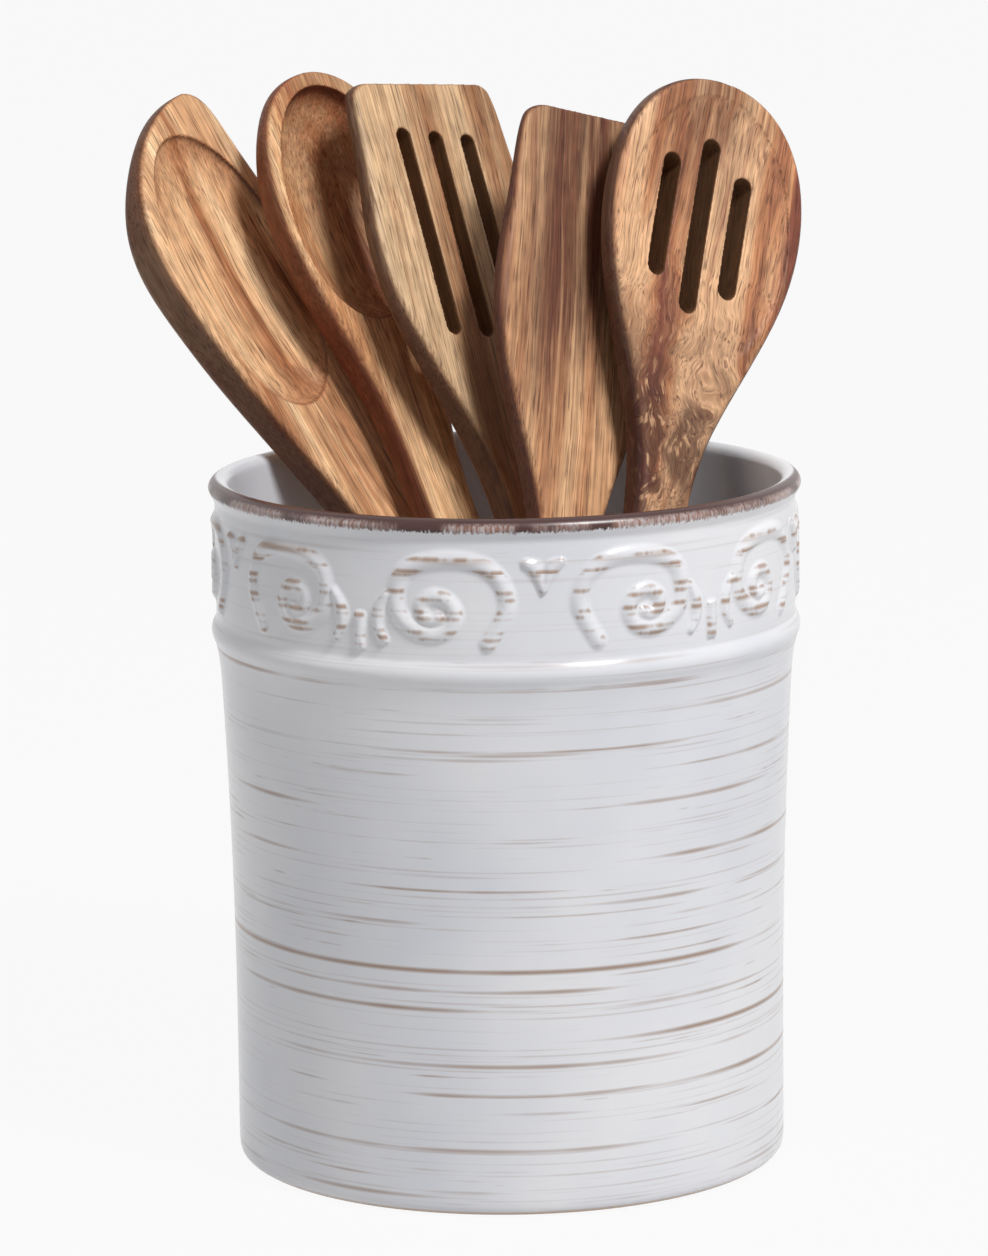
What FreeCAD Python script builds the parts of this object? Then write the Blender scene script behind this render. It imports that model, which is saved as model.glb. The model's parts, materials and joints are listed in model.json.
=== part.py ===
"""A glazed stoneware crock and the five wooden tools that stand in it.

Millimetres, +Z up, origin on the crock's axis at the face it stands on.  The front is -Y.
"""
import FreeCAD
import Part
import math
import os

from FreeCAD import Vector

# Crock
CROCK_HEIGHT = 178.0
FOOT_RADIUS = 71.2
FOOT_EDGE = 3.0
FLARE_START = 35.0
BODY_TOP_RADIUS = 73.9
BODY_TOP = 131.5
BEAD_RADIUS = 75.9
BEAD_HEIGHT = 139.0
BEAD_HALF = 3.2
BAND_RADIUS = 74.6
LIP_RADIUS = 76.2
LIP_THICK = 5.4
LIP_DEPTH = 5.6
WALL = 5.6
FLOOR = 9.0
INNER_CORNER = 7.0

# Wood common to all five tools
HANDLE_WIDTH = 16.0
HANDLE_THICK = 9.2
HANDLE_END = 3.5
EDGE_ROUND = 2.4
REST_GAP = 0.3

# Corner spoon: broad on its left, a blunt corner at its upper right
CORNER_SPOON_LENGTH = 294.5
CORNER_SPOON_NECK = 121.0
CORNER_SPOON_LEFT_NECK = 150.0
CORNER_SPOON_RIGHT_NECK = 164.5
CORNER_SPOON_LEFT = 30.3
CORNER_SPOON_RIGHT = 21.3
CORNER_SPOON_WIDEST = 37.0
CORNER_SPOON_TIP = 16.0
CORNER_SPOON_ROUND = 7.5
CORNER_SPOON_HEAD_THICK = 12.0
CORNER_SPOON_END_THICK = 5.0
CORNER_SPOON_RISE = 3.0
CORNER_SPOON_BACK_ROUND = 4.0
CORNER_SPOON_RIM = 4.0
CORNER_SPOON_HOLLOW_TOP = 9.0
CORNER_SPOON_HOLLOW_LENGTH = 79.0
CORNER_SPOON_HOLLOW_DEPTH = 5.0

# Spoon with a deep bowl
SPOON_LENGTH = 293.0
SPOON_NECK = 105.0
SPOON_RIGHT_NECK = 128.0
SPOON_WIDTH = 48.0
SPOON_WIDEST = 33.0
SPOON_FULLNESS = 2.2
SPOON_HEAD_THICK = 14.2
SPOON_END_THICK = 7.0
SPOON_RISE = 9.0
SPOON_RIM = 3.2
SPOON_HOLLOW_TOP = 4.0
SPOON_HOLLOW_LENGTH = 65.0
SPOON_HOLLOW_DEPTH = 10.5
SPOON_BACK_ROUND = 10.8

# Turner with three slots
TURNER_LENGTH = 288.3
TURNER_NECK = 120.0
TURNER_WIDTH = 59.4
TURNER_WIDEST = 48.0
TURNER_END_WIDTH = 50.8
TURNER_CORNER = 4.2
TURNER_HEAD_THICK = 7.6
TURNER_END_THICK = 5.8
TURNER_RISE = 1.5
TURNER_BACK_ROUND = 4.6
TURNER_SLOT_WIDTH = 4.8
TURNER_SLOT_PITCH = 11.3
TURNER_SLOT_TOP = 13.7
TURNER_SLOT_STEP = 0.9
TURNER_SLOT_LENGTH = 58.0

# Plain spatula
SPATULA_LENGTH = 274.0
SPATULA_NECK = 126.0
SPATULA_WIDTH = 49.5
SPATULA_WIDEST = 52.0
SPATULA_END_WIDTH = 40.5
SPATULA_CORNER = 6.0
SPATULA_HEAD_THICK = 7.4
SPATULA_END_THICK = 3.4
SPATULA_RISE = -1.2
SPATULA_BACK_ROUND = 5.0

# Shallow spoon with three slots
SLOTTED_SPOON_LENGTH = 291.0
SLOTTED_SPOON_NECK = 117.0
SLOTTED_SPOON_WIDTH = 60.2
SLOTTED_SPOON_WIDEST = 38.0
SLOTTED_SPOON_FULLNESS = 2.3
SLOTTED_SPOON_HEAD_THICK = 13.0
SLOTTED_SPOON_END_THICK = 9.8
SLOTTED_SPOON_RISE = 2.0
SLOTTED_SPOON_BACK_ROUND = 10.4
SLOTTED_SPOON_RIM = 4.2
SLOTTED_SPOON_HOLLOW_TOP = 4.0
SLOTTED_SPOON_HOLLOW_LENGTH = 76.0
SLOTTED_SPOON_HOLLOW_DEPTH = 2.0
SLOTTED_SPOON_SLOT_WIDTH = 5.4
SLOTTED_SPOON_SLOT_SHIFT = 1.4
SLOTTED_SPOON_SLOT_PITCH = 11.4
SLOTTED_SPOON_SLOT_TOP = 16.0
SLOTTED_SPOON_SLOT_LENGTH = 48.5
SLOTTED_SPOON_SIDE_SLOT = 34.0

# Where each tool stands.  Foot: its bearing on the floor, in degrees from +X, and its
# distance in from the inner wall.  Lip: the same where it passes the lip.  Faces: the
# bearing its face looks to, in degrees from the front round to the right.  The levels
# are how far above the floor and below the lip those places are taken.
CORNER_SPOON_FOOT = (27.3, 10.0)
CORNER_SPOON_LIP = (133.2, 8.3)
CORNER_SPOON_FACES = 56.0
SPOON_FOOT = (-15.7, 21.3)
SPOON_LIP = (115.8, 20.5)
SPOON_FACES = 43.0
TURNER_FOOT = (-28.6, 13.0)
TURNER_LIP = (88.6, 29.1)
TURNER_FACES = 43.0
SPATULA_FOOT = (-83.6, 22.5)
SPATULA_LIP = (57.2, 40.6)
SPATULA_FACES = 27.0
SLOTTED_SPOON_FOOT = (-77.0, 9.2)
SLOTTED_SPOON_LIP = (31.9, 22.3)
SLOTTED_SPOON_FACES = 27.5
FOOT_LEVEL = 5.0
LIP_LEVEL = 2.0

INNER_RADIUS = FOOT_RADIUS - WALL
MOUTH_RADIUS = LIP_RADIUS - LIP_THICK


def ease(x):
    """A smooth step from 0 to 1 with level ends."""
    x = min(max(x, 0.0), 1.0)
    return x * x * (3.0 - 2.0 * x)


def blend(a, b, x):
    """The value a share x of the way from a to b."""
    return a + (b - a) * x


def section(station, left, right, back, front, back_round):
    """One rounded rectangle across a tool, at a distance along it."""
    half = 0.47 * min(right - left, front - back)
    r_front = min(EDGE_ROUND, half)
    r_back = min(back_round, 0.47 * (right - left), front - back - 1.06 * r_front)
    k_front = r_front * (1.0 - math.sqrt(0.5))
    k_back = r_back * (1.0 - math.sqrt(0.5))

    def p(x, z):
        return Vector(x, station, z)

    edges = [
        Part.LineSegment(p(left + r_back, back), p(right - r_back, back)),
        Part.Arc(p(right - r_back, back), p(right - k_back, back + k_back), p(right, back + r_back)),
        Part.LineSegment(p(right, back + r_back), p(right, front - r_front)),
        Part.Arc(p(right, front - r_front), p(right - k_front, front - k_front), p(right - r_front, front)),
        Part.LineSegment(p(right - r_front, front), p(left + r_front, front)),
        Part.Arc(p(left + r_front, front), p(left + k_front, front - k_front), p(left, front - r_front)),
        Part.LineSegment(p(left, front - r_front), p(left, back + r_back)),
        Part.Arc(p(left, back + r_back), p(left + k_back, back + k_back), p(left + r_back, back)),
    ]
    return Part.Wire([edge.toShape() for edge in edges])


def carve(length, neck, widest, sides, head_thick, end_thick, rise, end_stations, back_round=EDGE_ROUND):
    """A tool along +Y with its face to +Z, from its foot at y = 0.

    The neck and the widest place are measured down from the top end.
    sides(y) gives the left and right edge there.
    """
    neck_at = length - neck
    widest_at = length - widest
    stations = [0.0, 0.35 * HANDLE_END, HANDLE_END, 2.0 * HANDLE_END]
    stations += [neck_at * share for share in (0.1, 0.3, 0.55, 0.8)]
    stations += [blend(neck_at, widest_at, share) for share in (0.0, 0.2, 0.4, 0.6, 0.8, 1.0)]
    stations += end_stations
    wires = []
    for y in stations:
        left, right = sides(y)
        to_head = ease((y - neck_at) / (widest_at - neck_at))
        to_end = ease((y - widest_at) / (length - widest_at))
        thick = blend(blend(HANDLE_THICK, head_thick, to_head), end_thick, to_end)
        front = face_height(y, length, neck, rise)
        inset = 0.0
        if y < HANDLE_END:
            inset = HANDLE_END - math.sqrt(HANDLE_END ** 2 - (HANDLE_END - y) ** 2)
            inset = min(inset, 0.8 * HANDLE_END)
        round_here = blend(EDGE_ROUND, back_round, to_head * (1.0 - 0.6 * to_end))
        back = front - thick
        wires.append(section(y, left + inset, right - inset, back + inset, front - inset, round_here))
    return Part.makeLoft(wires, True, False)


def spoon_sides(length, left_neck, right_neck, widest, width, fullness):
    """Edges of an egg-shaped head on a straight handle, and the stations of its round end.

    A fullness of 2 makes the end half an ellipse, and more makes it squarer.
    """
    left_at = length - left_neck
    right_at = length - right_neck
    widest_at = length - widest

    def sides(y):
        left = blend(HANDLE_WIDTH, width, ease((y - left_at) / (widest_at - left_at))) / 2.0
        right = blend(HANDLE_WIDTH, width, ease((y - right_at) / (widest_at - right_at))) / 2.0
        if y > widest_at:
            share = (y - widest_at) / widest
            left = right = 0.5 * width * max(1.0 - share ** fullness, 0.0) ** (1.0 / fullness)
        return -left, right

    ends = [widest_at + widest * math.sin(math.radians(a)) for a in (18, 36, 52, 66, 77, 85)]
    return sides, ends


def blade_sides(length, neck, widest, width, end_width, corner):
    """Edges of a flat blade with a straight end and rounded corners, and its end stations."""
    neck_at = length - neck
    widest_at = length - widest

    def sides(y):
        half = blend(HANDLE_WIDTH, width, ease((y - neck_at) / (widest_at - neck_at))) / 2.0
        if y > widest_at:
            half = blend(width, end_width, ease((y - widest_at) / widest)) / 2.0
        over = y - (length - corner)
        if over > 0.0:
            half -= corner - math.sqrt(max(corner ** 2 - over ** 2, 0.0))
        return -half, half

    ends = [blend(widest_at, length - corner, share) for share in (0.3, 0.65, 1.0)]
    ends += [length - corner + corner * math.sin(math.radians(a)) for a in (25, 50, 72, 90)]
    return sides, ends


def corner_sides():
    """Edges of the corner spoon: a long arc on the left, a straight side up to the corner on the right."""
    length = CORNER_SPOON_LENGTH
    left_at = length - CORNER_SPOON_LEFT_NECK
    right_at = length - CORNER_SPOON_RIGHT_NECK
    widest_at = length - CORNER_SPOON_WIDEST
    half = HANDLE_WIDTH / 2.0

    def sides(y):
        left = blend(half, CORNER_SPOON_LEFT, ease((y - left_at) / (widest_at - left_at)))
        right = blend(half, CORNER_SPOON_RIGHT, ease((y - right_at) / (widest_at - right_at)))
        if y > widest_at:
            share = (y - widest_at) / CORNER_SPOON_WIDEST
            tip = CORNER_SPOON_TIP - CORNER_SPOON_ROUND
            left = (CORNER_SPOON_LEFT + tip) * math.sqrt(max(1.0 - share * share, 0.0)) - tip
            right = blend(CORNER_SPOON_RIGHT, CORNER_SPOON_TIP, share)
            over = max(y - (length - CORNER_SPOON_ROUND), 0.0)
            right -= CORNER_SPOON_ROUND - math.sqrt(CORNER_SPOON_ROUND ** 2 - over ** 2)
        return -left, right

    ends = [widest_at + CORNER_SPOON_WIDEST * math.sin(math.radians(a)) for a in (18, 36, 52, 66, 77, 85)]
    return sides, ends


def face_height(y, length, neck, rise):
    """Height of a tool's face above its middle plane."""
    return 0.5 * HANDLE_THICK + rise * ease((y - length + neck) / neck)


def hollow(left, right, top, size, depth, length, neck, rise):
    """An ellipsoid that lies along the face and leaves a hollow of the given depth.

    The hollow runs from its top end, measured down from the tool's, for its own size.
    """
    high_at = length - top
    low_at = high_at - size
    low = face_height(low_at, length, neck, rise)
    high = face_height(high_at, length, neck, rise)
    matrix = FreeCAD.Matrix()
    matrix.scale(0.5 * (right - left), 0.5 * size, depth)
    matrix.rotateX(math.atan2(high - low, size))
    matrix.move(Vector(0.5 * (left + right), 0.5 * (low_at + high_at), 0.5 * (low + high)))
    return Part.makeSphere(1.0).transformGeometry(matrix)


def slot(x, top, length, width):
    """A through slot with round ends, along Y, from its top end down."""
    r = width / 2.0
    low = top - length + r
    box = Part.makeBox(width, length - width, 2.0 * length, Vector(x - r, low, -length))
    caps = [Part.makeCylinder(r, 2.0 * length, Vector(x, y, -length)) for y in (low, top - r)]
    return box.fuse(caps)


def polar(radius, place, z):
    """The point at a bearing and a distance in from a wall of the given radius."""
    bearing, inward = place
    angle = math.radians(bearing)
    return Vector(math.cos(angle), math.sin(angle), 0.0) * (radius - inward) + Vector(0.0, 0.0, z)


def stand(tool, foot_place, lip_place, faces):
    """Stands a tool in the crock so that its foot is the rest gap above the floor."""
    foot = polar(INNER_RADIUS, foot_place, FLOOR + FOOT_LEVEL)
    along = polar(MOUTH_RADIUS, lip_place, CROCK_HEIGHT - LIP_LEVEL) - foot
    along.normalize()
    facing = Vector(math.sin(math.radians(faces)), -math.cos(math.radians(faces)), 0.0)
    face = facing - along * facing.dot(along)
    face.normalize()
    across = along.cross(face)
    tool.Placement = FreeCAD.Placement(foot, FreeCAD.Rotation(across, along, face, "YZX"))
    low = tool.optimalBoundingBox(False, False).ZMin
    tool.translate(along * ((FLOOR + REST_GAP - low) / along.z))
    return tool


def make_crock():
    """The crock turned about its axis, with a bead and a lip round the ornament band."""
    lip_base = CROCK_HEIGHT - LIP_DEPTH
    lip_round = CROCK_HEIGHT - LIP_THICK / 2.0
    flare_mid = blend(FLARE_START, BODY_TOP, 0.5)
    flare_bow = FOOT_RADIUS + 0.25 * (BODY_TOP_RADIUS - FOOT_RADIUS)
    edge_mid = FOOT_EDGE * (1.0 - math.sqrt(0.5))
    corner_mid = INNER_CORNER * (1.0 - math.sqrt(0.5))

    def p(r, z):
        return Vector(r, 0.0, z)

    step = p(0.5 * (BODY_TOP_RADIUS + BEAD_RADIUS), BEAD_HEIGHT - BEAD_HALF)
    band_low = p(BAND_RADIUS, BEAD_HEIGHT + BEAD_HALF)
    band_top = p(BAND_RADIUS, lip_base)
    lip_out = p(LIP_RADIUS, lip_round)
    lip_in = p(MOUTH_RADIUS, lip_round)
    rest_edge = p(FOOT_RADIUS - FOOT_EDGE, 0.0)
    parts = [
        Part.LineSegment(p(0.0, 0.0), rest_edge),
        Part.Arc(rest_edge, p(FOOT_RADIUS - edge_mid, edge_mid), p(FOOT_RADIUS, FOOT_EDGE)),
        Part.LineSegment(p(FOOT_RADIUS, FOOT_EDGE), p(FOOT_RADIUS, FLARE_START)),
        Part.Arc(p(FOOT_RADIUS, FLARE_START), p(flare_bow, flare_mid), p(BODY_TOP_RADIUS, BODY_TOP)),
        Part.LineSegment(p(BODY_TOP_RADIUS, BODY_TOP), step),
        Part.Arc(step, p(BEAD_RADIUS, BEAD_HEIGHT), band_low),
        Part.LineSegment(band_low, band_top),
        Part.LineSegment(band_top, lip_out),
        Part.Arc(lip_out, p(LIP_RADIUS - LIP_THICK / 2.0, CROCK_HEIGHT), lip_in),
        Part.LineSegment(lip_in, p(INNER_RADIUS, FLOOR + INNER_CORNER)),
        Part.Arc(p(INNER_RADIUS, FLOOR + INNER_CORNER), p(INNER_RADIUS - corner_mid, FLOOR + corner_mid),
                 p(INNER_RADIUS - INNER_CORNER, FLOOR)),
        Part.LineSegment(p(INNER_RADIUS - INNER_CORNER, FLOOR), p(0.0, FLOOR)),
        Part.LineSegment(p(0.0, FLOOR), p(0.0, 0.0)),
    ]
    face = Part.Face(Part.Wire([item.toShape() for item in parts]))
    return face.revolve(Vector(0, 0, 0), Vector(0, 0, 1), 360.0)


def make_corner_spoon():
    """The corner spoon with its shallow hollow."""
    sides, ends = corner_sides()
    tool = carve(CORNER_SPOON_LENGTH, CORNER_SPOON_NECK, CORNER_SPOON_WIDEST, sides,
                 CORNER_SPOON_HEAD_THICK, CORNER_SPOON_END_THICK, CORNER_SPOON_RISE, ends,
                 CORNER_SPOON_BACK_ROUND)
    cut = hollow(CORNER_SPOON_RIM - CORNER_SPOON_LEFT, CORNER_SPOON_RIGHT - CORNER_SPOON_RIM,
                 CORNER_SPOON_HOLLOW_TOP, CORNER_SPOON_HOLLOW_LENGTH, CORNER_SPOON_HOLLOW_DEPTH,
                 CORNER_SPOON_LENGTH, CORNER_SPOON_NECK, CORNER_SPOON_RISE)
    return tool.cut(cut)


def make_spoon():
    """The deep spoon with its bowl."""
    sides, ends = spoon_sides(SPOON_LENGTH, SPOON_NECK, SPOON_RIGHT_NECK, SPOON_WIDEST, SPOON_WIDTH,
                              SPOON_FULLNESS)
    tool = carve(SPOON_LENGTH, SPOON_NECK, SPOON_WIDEST, sides,
                 SPOON_HEAD_THICK, SPOON_END_THICK, SPOON_RISE, ends, SPOON_BACK_ROUND)
    half = 0.5 * SPOON_WIDTH - SPOON_RIM
    cut = hollow(-half, half, SPOON_HOLLOW_TOP, SPOON_HOLLOW_LENGTH, SPOON_HOLLOW_DEPTH,
                 SPOON_LENGTH, SPOON_NECK, SPOON_RISE)
    return tool.cut(cut)


def make_turner():
    """The turner with three equal slots, each a step lower than the one on its left."""
    sides, ends = blade_sides(TURNER_LENGTH, TURNER_NECK, TURNER_WIDEST, TURNER_WIDTH,
                              TURNER_END_WIDTH, TURNER_CORNER)
    tool = carve(TURNER_LENGTH, TURNER_NECK, TURNER_WIDEST, sides,
                 TURNER_HEAD_THICK, TURNER_END_THICK, TURNER_RISE, ends, TURNER_BACK_ROUND)
    top = TURNER_LENGTH - TURNER_SLOT_TOP
    for place in (-1, 0, 1):
        tool = tool.cut(slot(place * TURNER_SLOT_PITCH, top - place * TURNER_SLOT_STEP,
                             TURNER_SLOT_LENGTH, TURNER_SLOT_WIDTH))
    return tool


def make_spatula():
    """The plain flat spatula."""
    sides, ends = blade_sides(SPATULA_LENGTH, SPATULA_NECK, SPATULA_WIDEST, SPATULA_WIDTH,
                              SPATULA_END_WIDTH, SPATULA_CORNER)
    return carve(SPATULA_LENGTH, SPATULA_NECK, SPATULA_WIDEST, sides,
                 SPATULA_HEAD_THICK, SPATULA_END_THICK, SPATULA_RISE, ends, SPATULA_BACK_ROUND)


def make_slotted_spoon():
    """The shallow spoon with a long slot between two short ones, a little left of its middle."""
    sides, ends = spoon_sides(SLOTTED_SPOON_LENGTH, SLOTTED_SPOON_NECK, SLOTTED_SPOON_NECK,
                              SLOTTED_SPOON_WIDEST, SLOTTED_SPOON_WIDTH, SLOTTED_SPOON_FULLNESS)
    tool = carve(SLOTTED_SPOON_LENGTH, SLOTTED_SPOON_NECK, SLOTTED_SPOON_WIDEST, sides,
                 SLOTTED_SPOON_HEAD_THICK, SLOTTED_SPOON_END_THICK, SLOTTED_SPOON_RISE, ends,
                 SLOTTED_SPOON_BACK_ROUND)
    half = 0.5 * SLOTTED_SPOON_WIDTH - SLOTTED_SPOON_RIM
    cut = hollow(-half, half,
                 SLOTTED_SPOON_HOLLOW_TOP, SLOTTED_SPOON_HOLLOW_LENGTH, SLOTTED_SPOON_HOLLOW_DEPTH,
                 SLOTTED_SPOON_LENGTH, SLOTTED_SPOON_NECK, SLOTTED_SPOON_RISE)
    tool = tool.cut(cut)
    top = SLOTTED_SPOON_LENGTH - SLOTTED_SPOON_SLOT_TOP
    drop = 0.5 * (SLOTTED_SPOON_SLOT_LENGTH - SLOTTED_SPOON_SIDE_SLOT)
    middle = -SLOTTED_SPOON_SLOT_SHIFT
    tool = tool.cut(slot(middle, top, SLOTTED_SPOON_SLOT_LENGTH, SLOTTED_SPOON_SLOT_WIDTH))
    for x in (middle - SLOTTED_SPOON_SLOT_PITCH, middle + SLOTTED_SPOON_SLOT_PITCH):
        tool = tool.cut(slot(x, top - drop, SLOTTED_SPOON_SIDE_SLOT, SLOTTED_SPOON_SLOT_WIDTH))
    return tool


def main():
    """Builds every piece and writes it as its own STEP file."""
    os.makedirs("parts", exist_ok=True)
    pieces = {
        "crock": make_crock(),
        "corner_spoon": stand(make_corner_spoon(), CORNER_SPOON_FOOT, CORNER_SPOON_LIP, CORNER_SPOON_FACES),
        "spoon": stand(make_spoon(), SPOON_FOOT, SPOON_LIP, SPOON_FACES),
        "slotted_turner": stand(make_turner(), TURNER_FOOT, TURNER_LIP, TURNER_FACES),
        "spatula": stand(make_spatula(), SPATULA_FOOT, SPATULA_LIP, SPATULA_FACES),
        "slotted_spoon": stand(make_slotted_spoon(), SLOTTED_SPOON_FOOT, SLOTTED_SPOON_LIP,
                               SLOTTED_SPOON_FACES),
    }
    for node, shape in pieces.items():
        shape.exportStep(f"parts/{node}.step")


main()
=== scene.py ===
"""Looks of a stoneware utensil crock and its five acacia tools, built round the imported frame.

Blender works in metres; sizes here are millimetres unless they say otherwise.  +Z is up and -Y is the front,
as in the CAD.
"""
import json
import logging
import math
from dataclasses import dataclass
from enum import Enum
from typing import Any, Optional, Sequence

import bpy
import numpy as np
from mathutils import Matrix, Vector


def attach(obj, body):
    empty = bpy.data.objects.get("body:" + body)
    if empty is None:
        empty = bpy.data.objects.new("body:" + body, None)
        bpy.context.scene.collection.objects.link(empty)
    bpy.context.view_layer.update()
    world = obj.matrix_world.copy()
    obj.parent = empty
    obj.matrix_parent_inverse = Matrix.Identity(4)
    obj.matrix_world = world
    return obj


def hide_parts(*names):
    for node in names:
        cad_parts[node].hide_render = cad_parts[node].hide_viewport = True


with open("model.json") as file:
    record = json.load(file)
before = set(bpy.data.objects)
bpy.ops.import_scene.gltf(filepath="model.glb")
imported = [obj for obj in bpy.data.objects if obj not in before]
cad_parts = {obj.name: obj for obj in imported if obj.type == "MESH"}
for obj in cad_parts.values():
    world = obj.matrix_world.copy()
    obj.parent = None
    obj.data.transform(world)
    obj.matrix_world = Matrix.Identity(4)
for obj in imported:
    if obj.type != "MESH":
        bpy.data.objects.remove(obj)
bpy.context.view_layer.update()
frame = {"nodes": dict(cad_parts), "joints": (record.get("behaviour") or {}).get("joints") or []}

MM = 0.001
METRE = 1000.0
IMAGE_HEIGHT_PX = 1256
log = logging.getLogger("utensil_crock")

Colour = tuple[float, float, float, float]
Span = tuple[float, float]
Socket = bpy.types.NodeSocket
Tree = bpy.types.NodeTree
WHITE: Colour = (1.0, 1.0, 1.0, 1.0)


def linear(hex_colour: str) -> Colour:
    """Turns an sRGB hex colour into linear RGBA.

    Args:
        hex_colour: a colour such as "#A89080".

    Returns:
        Linear red, green, blue and an alpha of 1.
    """
    parts = [int(hex_colour[i:i + 2], 16) / 255.0 for i in (1, 3, 5)]
    flat = [c / 12.92 if c <= 0.04045 else ((c + 0.055) / 1.055) ** 2.4 for c in parts]
    return flat[0], flat[1], flat[2], 1.0


def per_metre(size: float) -> float:
    """Scale of a pattern whose marks are this many millimetres apart."""
    return 1.0 / (size * MM)


def add_node(
    tree: Tree,
    kind: str,
    inputs: Optional[dict[Any, Any]] = None,
    stops: Sequence[tuple[float, Colour]] = (),
    **settings: Any,
) -> bpy.types.Node:
    """Adds one node with its settings and links.

    Args:
        tree: the node tree that gets the node.
        kind: Blender's name for the node.
        inputs: input name or number to a value, or to an output socket to link from.
        stops: places and colours of a colour ramp.
        settings: the node's own fields.

    Returns:
        The new node.
    """
    node = tree.nodes.new(kind)
    for name, value in settings.items():
        setattr(node, name, value)
    for key, value in (inputs or {}).items():
        if isinstance(value, bpy.types.NodeSocket):
            tree.links.new(value, node.inputs[key])
        else:
            node.inputs[key].default_value = value
    if stops:
        ramp = node.color_ramp.elements
        while len(ramp) < len(stops):
            ramp.new(1.0)
        for element, (place, colour) in zip(ramp, stops):
            element.position = place
            element.color = colour
    return node


def new_material(name: str) -> tuple[bpy.types.Material, Tree]:
    """Makes an empty node material.

    Args:
        name: the material's name.

    Returns:
        The material and its cleared node tree.
    """
    material = bpy.data.materials.new(name)
    material.use_nodes = True
    material.node_tree.nodes.clear()
    return material, material.node_tree


@dataclass(frozen=True)
class SoftStep:
    """An amount that goes from `before` to `after` while a pattern goes from `start` to `end`."""

    start: float
    end: float
    after: float = 1.0
    before: float = 0.0

    def of(self, pattern: Socket, unit: float = 1.0) -> dict[int, Any]:
        """Inputs that turn a pattern into this amount, with start and end in the given unit."""
        return {0: pattern, 1: self.start * unit, 2: self.end * unit, 3: self.before, 4: self.after}


@dataclass(frozen=True)
class Rings:
    """One set of thin lines that a stain brush left on the turning crock.

    A line shows where the brush pressed, so it comes and goes along each run round the crock.

    Attributes:
        pitch: mean distance between lines.
        half_width: half a line's width where the brush pressed hardest.
        run: length round the crock over which the press changes.
        press: press from which the brush leaves stain, so a higher one leaves fewer lines.
        strength: share of the stain's colour in the middle of a line.
        seed: keeps this set apart from the others.
    """

    pitch: float
    half_width: float
    run: float
    press: float
    strength: float
    seed: float


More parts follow.
